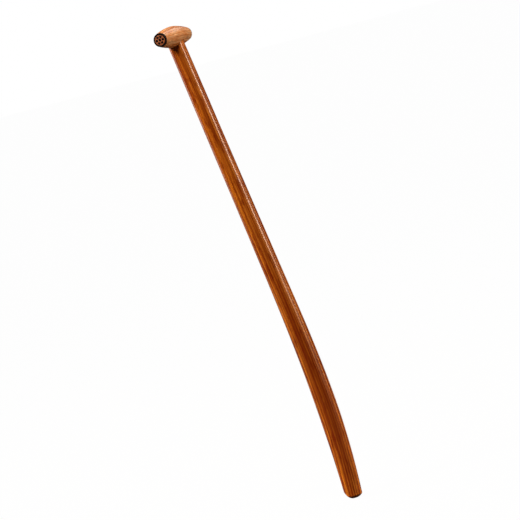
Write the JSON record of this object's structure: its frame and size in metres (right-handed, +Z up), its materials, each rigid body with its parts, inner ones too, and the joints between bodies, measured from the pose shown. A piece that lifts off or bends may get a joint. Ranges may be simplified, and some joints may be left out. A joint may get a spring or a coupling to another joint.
{
  "type": "t-grip tool shaft",
  "caption": "Tapered, gently bent wooden tool shaft with a turned barrel grip across its top; black rings and dark pegs at the grip ends",
  "frame": {"origin": "centre of the shaft at its lower end face, which seats in the tool's socket", "axes": "+Z up the lower end's axis towards the grip, Y along the grip; the shaft bends in the XZ plane and its top leans towards -X"},
  "size_m": [0.1439, 0.129, 0.8914],
  "materials": {
    "shaft_wood": "semi-gloss lacquer over red-brown hardwood, grain along the shaft",
    "grip_wood": "semi-gloss lacquer over lighter golden hardwood, grain along the grip",
    "pin_steel": "plain steel pin, slightly dulled",
    "inlay_wood": "near-black ebonised wood, satin"
  },
  "bodies": {
    "root": {"shaft": "shaft_wood", "grip": "grip_wood", "grip_pin": "pin_steel", "front_end_ring": "inlay_wood", "front_centre_peg": "inlay_wood", "front_outer_peg_1": "inlay_wood", "front_outer_peg_2": "inlay_wood", "front_outer_peg_3": "inlay_wood", "front_outer_peg_4": "inlay_wood", "front_outer_peg_5": "inlay_wood", "front_outer_peg_6": "inlay_wood", "rear_end_ring": "inlay_wood", "rear_centre_peg": "inlay_wood", "rear_outer_peg_1": "inlay_wood", "rear_outer_peg_2": "inlay_wood", "rear_outer_peg_3": "inlay_wood", "rear_outer_peg_4": "inlay_wood", "rear_outer_peg_5": "inlay_wood", "rear_outer_peg_6": "inlay_wood"}
  },
  "joints": []
}
